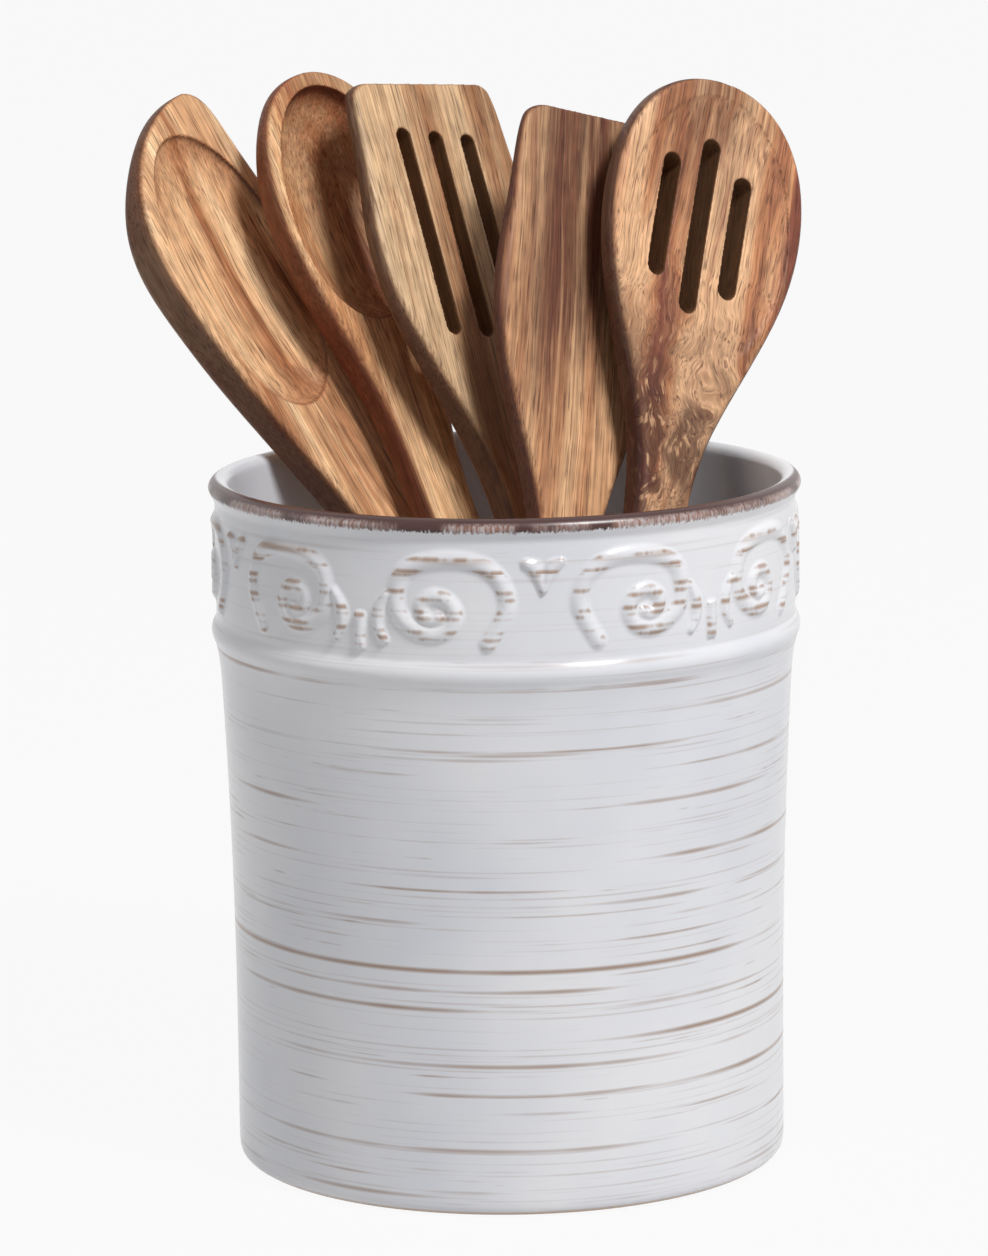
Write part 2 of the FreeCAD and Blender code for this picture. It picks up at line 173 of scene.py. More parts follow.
@dataclass(frozen=True)
class BrushedStonewareGlaze:
    """White glaze over buff stoneware, dipped and fired glossy, with brown stain brushed on and wiped.

    The glaze is smooth and mirror-bright; the stain stays as thin lines round the body, on the lip and
    where the glaze is thin over the relief.  The brush ticks on the lip are drawn coarser than the marks of
    single bristles, so that they show.
    """

    name: str = "Stoneware_white_glaze_brushed_stain"
    glaze: str = "#E5E5E8"
    pooled: str = "#D7D8DE"
    line: str = "#987B67"
    stain: str = "#42231F"
    worn_stain: str = "#8A6455"
    wear: str = "#9E7D64"
    bisque: str = "#B99A7C"
    roughness: float = 0.20
    stain_roughness: float = 0.30
    ior: float = 1.5
    cloud: float = 71.4
    cloud_levels: Span = (0.35, 0.62)
    swell: float = 22.2
    swell_depth: float = 0.6
    swell_strength: float = 0.12
    bold: Rings = Rings(7.0, 0.90, 110.0, 0.48, 0.88, 3.0)
    thin: Rings = Rings(3.6, 0.50, 70.0, 0.53, 0.70, 11.0)
    short: Rings = Rings(5.2, 0.48, 32.0, 0.60, 0.90, 53.0)
    faint: Rings = Rings(1.5, 0.36, 80.0, 0.49, 0.30, 23.0)
    dashes: Rings = Rings(2.5, 0.95, 7.0, 0.41, 0.85, 37.0)
    sway: float = 1.2
    sway_length: float = 111.0
    runs_apart: float = 60.0
    full_press: float = 0.16
    taper: float = 0.5
    line_core: float = 0.2
    wiped: SoftStep = SoftStep(137.0, 143.0, 0.3, 1.0)
    outside: SoftStep = SoftStep(-0.5, 0.5)
    foot: SoftStep = SoftStep(1.5, 0.8)
    crest: SoftStep = SoftStep(0.10, 0.45)
    crease_at: float = 135.2
    crease_half: float = 0.7
    arch_at: float = 167.6
    arch_half: float = 1.3
    kept_core: float = 0.3
    kept_patch: float = 45.5
    kept: SoftStep = SoftStep(0.38, 0.62, 0.8)
    brush_tick: float = 0.8
    tick_length: float = 3.4
    lip_outside: SoftStep = SoftStep(3.5, 2.9)
    lip_inside: SoftStep = SoftStep(-50.0, 5.0, 0.9, -2.2)
    inside_edge: SoftStep = SoftStep(0.0, 0.8)
    low_lip: SoftStep = SoftStep(2.2, 3.4)
    rubbed_patch: float = 11.1
    rubbed: SoftStep = SoftStep(0.36, 0.56)
    specks_per_tick: float = 1.3
    specks: SoftStep = SoftStep(0.38, 0.60, 1.0, 0.5)

    def make(self) -> bpy.types.Material:
        """Builds the glaze with its stain lines, stained lip, worn relief and bare foot edge.

        Returns:
            The finished material.
        """
        material, tree = new_material(self.name)
        where = add_node(tree, "ShaderNodeTexCoord").outputs["Object"]
        height = add_node(tree, "ShaderNodeSeparateXYZ", {0: where}).outputs[2]
        rim = add_node(tree, "ShaderNodeAttribute", attribute_name="rim").outputs["Fac"]
        relief = add_node(tree, "ShaderNodeAttribute", attribute_name="relief").outputs["Fac"]
        cloud = add_node(tree, "ShaderNodeTexNoise", {
            "Vector": where, "Scale": per_metre(self.cloud), "Detail": 3.0}).outputs[0]
        stops = tuple(zip(self.cloud_levels, (linear(self.pooled), linear(self.glaze))))
        colour = add_node(tree, "ShaderNodeValToRGB", {0: cloud}, stops=stops).outputs[0]
        crest = add_node(tree, "ShaderNodeMapRange", self.crest.of(relief)).outputs[0]
        arch = self._kept(tree, where, height, self.arch_at, self.arch_half)
        dragged = add_node(tree, "ShaderNodeMath", {0: self._rings(tree, where, self.dashes), 1: arch},
                           operation="MAXIMUM").outputs[0]
        worn = add_node(tree, "ShaderNodeMath", {0: dragged, 1: crest}, operation="MULTIPLY").outputs[0]
        wiped = add_node(tree, "ShaderNodeMapRange", self.wiped.of(height, MM)).outputs[0]
        outside = add_node(tree, "ShaderNodeMapRange", self.outside.of(rim)).outputs[0]
        left = add_node(tree, "ShaderNodeMath", {0: wiped, 1: outside}, operation="MULTIPLY").outputs[0]
        foot = add_node(tree, "ShaderNodeMapRange", self.foot.of(height, MM)).outputs[0]
        stained, tone = self._lip(tree, where, rim)
        layers: list[tuple[Socket, Any]] = []
        for rings in (self.faint, self.thin, self.short, self.bold):
            amount = add_node(tree, "ShaderNodeMath", {0: self._rings(tree, where, rings), 1: left},
                              operation="MULTIPLY").outputs[0]
            layers.append((amount, linear(self.line)))
        crease = self._kept(tree, where, height, self.crease_at, self.crease_half)
        layers += [(crease, linear(self.line)), (worn, linear(self.wear)), (stained, tone),
                   (foot, linear(self.bisque))]
        for amount, layer in layers:
            colour = add_node(tree, "ShaderNodeMix", {0: amount, 6: colour, 7: layer},
                              data_type="RGBA").outputs[2]
        rough = add_node(tree, "ShaderNodeMix", {
            0: stained, 2: self.roughness, 3: self.stain_roughness}).outputs[0]
        swell = add_node(tree, "ShaderNodeTexNoise", {
            "Vector": where, "Scale": per_metre(self.swell), "Detail": 1.0}).outputs[0]
        bump = add_node(tree, "ShaderNodeBump", {
            "Strength": self.swell_strength, "Distance": self.swell_depth * MM, "Height": swell})
        shader = add_node(tree, "ShaderNodeBsdfPrincipled", {
            "Base Color": colour, "Roughness": rough, "IOR": self.ior, "Normal": bump.outputs[0]})
        add_node(tree, "ShaderNodeOutputMaterial", {"Surface": shader.outputs[0]})
        return material

    def _rings(self, tree: Tree, where: Socket, rings: Rings) -> Socket:
        """Lines at uneven heights, each pressed harder and softer on its way round.

        Args:
            tree: the material's node tree.
            where: object coordinates.
            rings: spacing, width and run of the lines.

        Returns:
            Amount of stain.
        """
        sway = add_node(tree, "ShaderNodeTexNoise", {
            "Vector": where, "Scale": per_metre(self.sway_length), "Detail": 1.0}).outputs[0]
        height = add_node(tree, "ShaderNodeSeparateXYZ", {0: where}).outputs[2]
        level = add_node(tree, "ShaderNodeMath", {0: sway, 1: self.sway * MM, 2: height},
                         operation="MULTIPLY_ADD").outputs[0]
        level = add_node(tree, "ShaderNodeMath", {0: level, 1: per_metre(rings.pitch), 2: rings.seed},
                         operation="MULTIPLY_ADD").outputs[0]
        ring = add_node(tree, "ShaderNodeTexVoronoi", {"W": level, "Scale": 1.0},
                        voronoi_dimensions="1D").outputs
        # Each line reads the press at a place of its own, so neighbours don't come and go together.
        apart = add_node(tree, "ShaderNodeVectorMath", {0: ring["Color"], "Scale": self.runs_apart},
                         operation="SCALE").outputs[0]
        run = per_metre(rings.run)
        along = add_node(tree, "ShaderNodeVectorMath", {0: where, 1: (run, run, 0.0), 2: apart},
                         operation="MULTIPLY_ADD").outputs[0]
        press = add_node(tree, "ShaderNodeTexNoise", {
            "Vector": along, "Scale": 1.0, "Detail": 3.0, "Roughness": 0.6}).outputs[0]
        touch = SoftStep(rings.press, rings.press + self.full_press)
        pressed = add_node(tree, "ShaderNodeMapRange", touch.of(press)).outputs[0]
        # A line keeps most of its width until near its ends.
        spread = add_node(tree, "ShaderNodeMath", {0: pressed, 1: self.taper}, operation="POWER").outputs[0]
        half = add_node(tree, "ShaderNodeMath", {0: spread, 1: rings.half_width / rings.pitch},
                        operation="MULTIPLY").outputs[0]
        core = add_node(tree, "ShaderNodeMath", {0: half, 1: self.line_core}, operation="MULTIPLY").outputs[0]
        mark = add_node(tree, "ShaderNodeMapRange", {
            0: ring["Distance"], 1: half, 2: core, 4: rings.strength}).outputs[0]
        return add_node(tree, "ShaderNodeMath", {0: mark, 1: pressed}, operation="MULTIPLY").outputs[0]

    def _kept(self, tree: Tree, where: Socket, height: Socket, level: float, half: float) -> Socket:
        """Stain that stayed in patches round one height.

        Args:
            tree: the material's node tree.
            where: object coordinates.
            height: height above the foot, in metres.
            level: the height it stayed at.
            half: how far it reaches up and down.

        Returns:
            Amount of stain.
        """
        away = add_node(tree, "ShaderNodeMath", {0: height, 1: level * MM}, operation="SUBTRACT").outputs[0]
        away = add_node(tree, "ShaderNodeMath", {0: away}, operation="ABSOLUTE").outputs[0]
        reach = SoftStep(half, self.kept_core * half)
        line = add_node(tree, "ShaderNodeMapRange", reach.of(away, MM)).outputs[0]
        patch = add_node(tree, "ShaderNodeTexNoise", {
            "Vector": where, "Scale": per_metre(self.kept_patch), "Detail": 2.0}).outputs[0]
        kept = add_node(tree, "ShaderNodeMapRange", self.kept.of(patch)).outputs[0]
        return add_node(tree, "ShaderNodeMath", {0: line, 1: kept}, operation="MULTIPLY").outputs[0]

    def _lip(self, tree: Tree, where: Socket, rim: Socket) -> tuple[Socket, Socket]:
        """Brown stain brushed on the lip: over its crest at the front, with short ticks along its lower edge.

        Args:
            tree: the material's node tree.
            where: object coordinates.
            rim: millimetres down the outside from the lip's crest.

        Returns:
            Amount of stain and its colour.
        """
        tick = per_metre(self.brush_tick)
        upright = add_node(tree, "ShaderNodeVectorMath", {
            0: where, 1: (tick, tick, 0.0)}, operation="MULTIPLY").outputs[0]
        bristle = add_node(tree, "ShaderNodeTexNoise", {
            "Vector": upright, "Scale": 1.0, "Detail": 3.0, "Roughness": 0.65}).outputs[0]
        ragged = add_node(tree, "ShaderNodeMath", {0: bristle, 1: -self.tick_length, 2: rim},
                          operation="MULTIPLY_ADD").outputs[0]
        below = add_node(tree, "ShaderNodeMapRange", self.lip_outside.of(ragged)).outputs[0]
        # The brush went further over the crest at the front than at the back.
        depth = add_node(tree, "ShaderNodeSeparateXYZ", {0: where}).outputs[1]
        inner = add_node(tree, "ShaderNodeMapRange", self.lip_inside.of(depth, MM)).outputs[0]
        above = add_node(tree, "ShaderNodeMath", {0: rim, 1: inner}, operation="SUBTRACT").outputs[0]
        above = add_node(tree, "ShaderNodeMapRange", self.inside_edge.of(above)).outputs[0]
        amount = add_node(tree, "ShaderNodeMath", {0: below, 1: above}, operation="MULTIPLY").outputs[0]
        patch = add_node(tree, "ShaderNodeTexNoise", {
            "Vector": where, "Scale": per_metre(self.rubbed_patch), "Detail": 3.0}).outputs[0]
        rubbed = add_node(tree, "ShaderNodeMapRange", self.rubbed.of(patch)).outputs[0]
        low = add_node(tree, "ShaderNodeMapRange", self.low_lip.of(rim)).outputs[0]
        worn = add_node(tree, "ShaderNodeMath", {0: low, 1: rubbed}, operation="MULTIPLY").outputs[0]
        tone = add_node(tree, "ShaderNodeMix", {
            0: worn, 6: linear(self.stain), 7: linear(self.worn_stain)}, data_type="RGBA").outputs[2]
        speck = add_node(tree, "ShaderNodeTexNoise", {
            "Vector": upright, "Scale": self.specks_per_tick, "Detail": 2.0}).outputs[0]
        bare = add_node(tree, "ShaderNodeMapRange", self.specks.of(speck)).outputs[0]
        cover = add_node(tree, "ShaderNodeMix", {0: worn, 2: 1.0, 3: bare}).outputs[0]
        stained = add_node(tree, "ShaderNodeMath", {0: amount, 1: cover}, operation="MULTIPLY").outputs[0]
        return stained, tone


class Figure(Enum):
    """How the board's figure runs on a tool."""

    STRAIGHT = "straight"
    BURLED = "burled"


@dataclass(frozen=True)
class RoutedSlots:
    """Where slots were routed, across from the tool's middle and up from its foot."""

    middle: float
    reach: float
    low: float
    high: float


@dataclass(frozen=True)
class Grain:
    """A pattern drawn out along the grain.

    Attributes:
        width: size of its marks across the grain.
        stretch: share of the across scale that is left along the grain.
        layer: keeps it apart from the tool's other patterns.
        detail: octaves of finer marks.
    """

    width: float
    stretch: float
    layer: float
    detail: float


@dataclass(frozen=True)
class OiledAcacia:
    """Acacia sawn along the grain, carved, sanded and oiled.

    Broad bands of sapwood and heartwood run along the tool, with fine fibres, dark pores and a satin
    sheen.  The side walls are painted darker than the face as painted shade, and the slot walls are
    painted dark brown as the shade inside the slots.
    Fibres and pores are drawn wider than real ones, which are under 0.2 mm, so that they show.  The grain
    bends 26 times in a metre, and 55 times where it curls round a burl.
    """

    name: str
    pale: str
    mid: str
    dark: str
    heart: str
    seed: float
    heart_at: float = 0.0
    heart_width: float = 8.0
    heart_amount: float = 0.5
    heart_from: float = -99.0
    heart_core: float = 0.3
    heart_edge: Grain = Grain(2.5, 0.04, 29.0, 2.0)
    heart_reach: float = 70.0
    heart_grown: Span = (20.0, 50.0)
    sap_from: float = -99.0
    sap_amount: float = 0.0
    sap_edge: Span = (3.0, -4.0)
    figure: Figure = Figure.STRAIGHT
    burl_at: float = 180.0
    burl_reach: float = 56.0
    burl_core: float = 19.6
    burl_clouds: Grain = Grain(9.0, 0.5, 21.0, 3.0)
    burl_dark: SoftStep = SoftStep(0.30, 0.52, 0.80)
    burl_flecks: Grain = Grain(1.6, 0.3, 25.0, 2.0)
    burl_pale: SoftStep = SoftStep(0.56, 0.66, 0.6)
    bend: Grain = Grain(METRE / 26.0, 0.3, 0.0, 2.0)
    wander: float = 10.0
    bend_along: float = 0.4
    curl: Grain = Grain(METRE / 55.0, 0.9, 0.0, 2.0)
    curl_wander: float = 25.0
    curl_reach: float = 72.8
    curl_core: float = 16.8
    bands: Grain = Grain(10.0, 0.035, 0.0, 3.0)
    band_levels: tuple[float, float, float] = (0.36, 0.48, 0.60)
    streaks: Grain = Grain(1.7, 0.018, 5.0, 3.0)
    dark_streak: SoftStep = SoftStep(0.52, 0.70, 0.6)
    pale_streak: SoftStep = SoftStep(0.48, 0.28, 0.4)
    fibres: Grain = Grain(0.5, 0.015, 7.0, 2.0)
    fibre_gain: SoftStep = SoftStep(0.3, 0.7, 1.28, 0.64)
    mottle: Grain = Grain(4.0, 0.7, 13.0, 2.0)
    mottle_gain: SoftStep = SoftStep(0.3, 0.7, 1.13, 0.84)
    pores: Grain = Grain(0.4, 0.04, 9.0, 0.0)
    pitted: SoftStep = SoftStep(0.60, 0.70, 0.55)
    grain_depth: float = 0.2
    grain_strength: float = 0.2
    side_shade: SoftStep = SoftStep(0.88, 0.5, 0.85)
    end_turned: Span = (0.06, 0.30)
    end_amount: float = 0.5
    slots: Optional[RoutedSlots] = None
    slot_shade: str = "#7A5435"
    slot_shade_margin: Span = (0.6, 0.2)
    slot_shade_specks: Grain = Grain(0.9, 0.8, 17.0, 1.0)
    slot_shade_levels: SoftStep = SoftStep(0.35, 0.6, 1.0, 0.7)
    wall_turned: Span = (0.75, 0.4)
    roughness: float = 0.45
    pore_roughness: float = 0.65
    pore_levels: Span = (0.45, 0.7)
    slot_wall_roughness: float = 1.0
    sheen: float = 0.25
    ior: float = 1.47

    def make(self, origin: Vector, turn: Matrix) -> bpy.types.Material:
        """Builds the wood with its grain along the tool.

        Args:
            origin: foot of the tool's axis, in metres.
            turn: rotation whose columns are the tool's across, along and face directions.

        Returns:
            The finished material.
        """
        material, tree = new_material(self.name)
        coords = add_node(tree, "ShaderNodeTexCoord").outputs
        local = add_node(tree, "ShaderNodeMapping", {
            "Vector": coords["Object"], "Location": origin, "Rotation": turn.to_euler()},
            vector_type="TEXTURE").outputs[0]
        facing = self._turned(tree, coords["Normal"], turn.col[2])
        ending = self._turned(tree, coords["Normal"], turn.col[1])
        grain = self._warp(tree, local)
        bands = self._noise(tree, grain, self.bands).outputs[0]
        streaks = self._noise(tree, grain, self.streaks).outputs[0]
        fibres = self._noise(tree, grain, self.fibres).outputs[0]
        pores = self._noise(tree, grain, self.pores).outputs[0]
        stops = tuple(zip(self.band_levels, (linear(self.dark), linear(self.mid), linear(self.pale))))
        colour = add_node(tree, "ShaderNodeValToRGB", {0: bands}, stops=stops).outputs[0]
        pitted = add_node(tree, "ShaderNodeMapRange", self.pitted.of(pores)).outputs[0]
        layers = self._stripes(tree, grain)
        for step, tone in ((self.dark_streak, self.dark), (self.pale_streak, self.pale)):
            layers.append((add_node(tree, "ShaderNodeMapRange", step.of(streaks)).outputs[0], tone))
        layers.append((pitted, self.heart))
        if self.figure is Figure.BURLED:
            layers += self._burl(tree, local, grain)
        end_grain = SoftStep(*self.end_turned, self.end_amount)
        layers.append((add_node(tree, "ShaderNodeMapRange", end_grain.of(ending)).outputs[0], self.dark))
        # Walls that run along the face are painted darker than the face: painted shade on the tool's sides.
        layers.append((add_node(tree, "ShaderNodeMapRange", self.side_shade.of(facing)).outputs[0], self.heart))
        rough = add_node(tree, "ShaderNodeMapRange", SoftStep(
            *self.pore_levels, self.pore_roughness, self.roughness).of(pores)).outputs[0]
        if self.slots:
            # The slot walls are painted speckled dark brown and made matt: painted shade inside the slots.
            wall_shade = self._slot_shade(tree, local, facing, self.slots)
            layers.append((wall_shade, self.slot_shade))
            rough = add_node(tree, "ShaderNodeMix", {0: wall_shade, 2: rough, 3: self.slot_wall_roughness}).outputs[0]
        for amount, tone in layers:
            colour = add_node(tree, "ShaderNodeMix", {0: amount, 6: colour, 7: linear(tone)},
                              data_type="RGBA").outputs[2]
        mottle = self._noise(tree, local, self.mottle).outputs[0]
        for noise, step in ((fibres, self.fibre_gain), (mottle, self.mottle_gain)):
            gain = add_node(tree, "ShaderNodeMapRange", step.of(noise)).outputs[0]
            colour = add_node(tree, "ShaderNodeVectorMath", {0: colour, "Scale": gain},
                              operation="SCALE").outputs[0]
        depth = add_node(tree, "ShaderNodeMath", {0: fibres, 1: pitted}, operation="SUBTRACT").outputs[0]
        bump = add_node(tree, "ShaderNodeBump", {
            "Strength": self.grain_strength, "Distance": self.grain_depth * MM, "Height": depth})
        shader = add_node(tree, "ShaderNodeBsdfPrincipled", {
            "Base Color": colour, "Roughness": rough, "IOR": self.ior, "Specular IOR Level": self.sheen,
            "Normal": bump.outputs[0]})
        add_node(tree, "ShaderNodeOutputMaterial", {"Surface": shader.outputs[0]})
        return material

    def _turned(self, tree: Tree, normal: Socket, direction: Vector) -> Socket:
        """How squarely a surface is turned to a direction or away from it.

        Args:
            tree: the material's node tree.
            normal: the surface's normal.
            direction: one of the tool's own directions.

        Returns:
            1 where it is square to the direction, 0 where it runs along it.
        """
        toward = add_node(tree, "ShaderNodeVectorMath", {0: normal, 1: direction},
                          operation="DOT_PRODUCT").outputs["Value"]
        return add_node(tree, "ShaderNodeMath", {0: toward}, operation="ABSOLUTE").outputs[0]

    def _noise(self, tree: Tree, vector: Socket, grain: Grain) -> bpy.types.Node:
        """Noise drawn out along the grain.

        Args:
            tree: the material's node tree.
            vector: the tool's own coordinates, straight or bent.
            grain: size and stretch of its marks.

        Returns:
            The noise's node; its value is about 0.25 to 0.75.
        """
        drawn = add_node(tree, "ShaderNodeVectorMath", {
            0: vector, 1: (1.0, grain.stretch, 1.0)}, operation="MULTIPLY").outputs[0]
        return add_node(tree, "ShaderNodeTexNoise", {
            "Vector": drawn, "W": self.seed + grain.layer, "Scale": per_metre(grain.width),
            "Detail": grain.detail}, noise_dimensions="4D")

    def _near(self, tree: Tree, distance: Socket, middle: float, none: float, full: float) -> Socket:
        """How close a distance is to a middle.

        Args:
            tree: the material's node tree.
            distance: one of the tool's own coordinates, in metres.
            middle: the place it is compared with.
            none: how far off gives 0.
            full: how far off still gives 1.

        Returns:
            0 to 1.
        """
        away = add_node(tree, "ShaderNodeMath", {0: distance, 1: middle * MM},
                        operation="SUBTRACT").outputs[0]
        away = add_node(tree, "ShaderNodeMath", {0: away}, operation="ABSOLUTE").outputs[0]
        return add_node(tree, "ShaderNodeMapRange", SoftStep(none, full).of(away, MM)).outputs[0]

    def _warp(self, tree: Tree, local: Socket) -> Socket:
        """Lets the grain wander sideways, and curl round a burl.

        Args:
            tree: the material's node tree.
            local: the tool's own coordinates.

        Returns:
            Bent coordinates.
        """
        bends: list[tuple[Grain, Any]] = [(self.bend, self.wander * MM)]
        if self.figure is Figure.BURLED:
            along = add_node(tree, "ShaderNodeSeparateXYZ", {0: local}).outputs[1]
            near = self._near(tree, along, self.burl_at, self.curl_reach, self.curl_core)
            reach = add_node(tree, "ShaderNodeMath", {0: near, 1: self.curl_wander * MM},
                             operation="MULTIPLY").outputs[0]
            bends.append((self.curl, reach))
        grain = local
        for bend, reach in bends:
            swing = self._noise(tree, local, bend).outputs[1]
            centred = add_node(tree, "ShaderNodeVectorMath", {0: swing, 1: (0.5, 0.5, 0.5)},
                               operation="SUBTRACT").outputs[0]
            moved = add_node(tree, "ShaderNodeVectorMath", {0: centred, "Scale": reach},
                             operation="SCALE").outputs[0]
            grain = add_node(tree, "ShaderNodeVectorMath", {
                0: moved, 1: (1.0, self.bend_along, 1.0), 2: grain}, operation="MULTIPLY_ADD").outputs[0]
        return grain

    def _stripes(self, tree: Tree, grain: Socket) -> list[tuple[Socket, str]]:
        """The pale sapwood side and the dark heartwood stripe, which starts in ragged streaks.

        Args:
            tree: the material's node tree.
            grain: bent coordinates.

        Returns:
            Amounts and their colours.
        """
        place = add_node(tree, "ShaderNodeSeparateXYZ", {0: grain}).outputs
        start, end = (self.sap_from + edge for edge in self.sap_edge)
        sapwood = SoftStep(start, end, self.sap_amount)
        sap = add_node(tree, "ShaderNodeMapRange", sapwood.of(place[0], MM)).outputs[0]
        near = self._near(tree, place[0], self.heart_at, self.heart_width, self.heart_core * self.heart_width)
        ragged = self._noise(tree, grain, self.heart_edge).outputs[0]
        reached = add_node(tree, "ShaderNodeMath", {0: ragged, 1: self.heart_reach * MM, 2: place[1]},
                           operation="MULTIPLY_ADD").outputs[0]
        start, end = (self.heart_from + edge for edge in self.heart_grown)
        heartwood = SoftStep(start, end, self.heart_amount)
        grown = add_node(tree, "ShaderNodeMapRange", heartwood.of(reached, MM)).outputs[0]
        heart = add_node(tree, "ShaderNodeMath", {0: near, 1: grown}, operation="MULTIPLY").outputs[0]
        return [(sap, self.pale), (heart, self.heart)]

    def _burl(self, tree: Tree, local: Socket, grain: Socket) -> list[tuple[Socket, str]]:
        """Dark clouds and pale flecks where the grain curls.

        Args:
            tree: the material's node tree.
            local: the tool's own coordinates.
            grain: bent coordinates.

        Returns:
            Amounts and their colours.
        """
        along = add_node(tree, "ShaderNodeSeparateXYZ", {0: local}).outputs[1]
        near = self._near(tree, along, self.burl_at, self.burl_reach, self.burl_core)
        layers = []
        for marks, step, tone in ((self.burl_clouds, self.burl_dark, self.heart),
                                  (self.burl_flecks, self.burl_pale, self.pale)):
            noise = self._noise(tree, grain, marks).outputs[0]
            mark = add_node(tree, "ShaderNodeMapRange", step.of(noise)).outputs[0]
            amount = add_node(tree, "ShaderNodeMath", {0: mark, 1: near}, operation="MULTIPLY").outputs[0]
            layers.append((amount, tone))
        return layers

    def _slot_shade(self, tree: Tree, local: Socket, facing: Socket, slots: RoutedSlots) -> Socket:
        """Dark brown painted on the walls of the slots: painted shade inside the slots.

        Args:
            tree: the material's node tree.
            local: the tool's own coordinates.
            facing: 1 on the face and back, 0 on walls.
            slots: where the slots are.

        Returns:
            Amount of painted shade.
        """
        place = add_node(tree, "ShaderNodeSeparateXYZ", {0: local}).outputs
        none, full = self.slot_shade_margin
        half = 0.5 * (slots.high - slots.low)
        middle = 0.5 * (slots.low + slots.high)
        inside = self._near(tree, place[0], slots.middle, slots.reach + none, slots.reach + full)
        upright = self._near(tree, place[1], middle, half + none, half + full)
        speckle = self._noise(tree, local, self.slot_shade_specks).outputs[0]
        speckled_shade = add_node(tree, "ShaderNodeMapRange", self.slot_shade_levels.of(speckle)).outputs[0]
        wall = add_node(tree, "ShaderNodeMapRange", {
            0: facing, 1: self.wall_turned[0], 2: self.wall_turned[1], 4: speckled_shade}).outputs[0]
        amount = add_node(tree, "ShaderNodeMath", {0: inside, 1: upright}, operation="MULTIPLY").outputs[0]
        return add_node(tree, "ShaderNodeMath", {0: amount, 1: wall}, operation="MULTIPLY").outputs[0]


@dataclass(frozen=True)
class Stroke:
    """One carved stroke of the relief: points as (distance from the bud's axis, height) and half-widths.

    The half-widths are those at its start, at its widest place and at its end.
    """

    points: tuple[tuple[float, float], ...]
    half_widths: tuple[float, float, float]
    widest: float = 0.45

    def sample(self, count: int = 160) -> tuple[np.ndarray, np.ndarray]:
        """Follows the stroke on a smooth line through its points.

        Args:
            count: number of places along it.

        Returns:
            Places in millimetres and the half-width at each.
        """
        knots = np.array(self.points)
        knots = np.vstack([2 * knots[0] - knots[1], knots, 2 * knots[-1] - knots[-2]])
        place = np.linspace(0.0, len(self.points) - 1.0 - 1e-6, count)
        first = place.astype(int)
        part = (place - first)[:, None]
        before, start, end, after = (knots[first + step] for step in range(4))
        line = 0.5 * (2 * start + (end - before) * part
                      + (2 * before - 5 * start + 4 * end - after) * part ** 2
                      + (3 * start - before - 3 * end + after) * part ** 3)
        widths = np.interp(np.linspace(0.0, 1.0, count), (0.0, self.widest, 1.0), self.half_widths)
        return line, widths


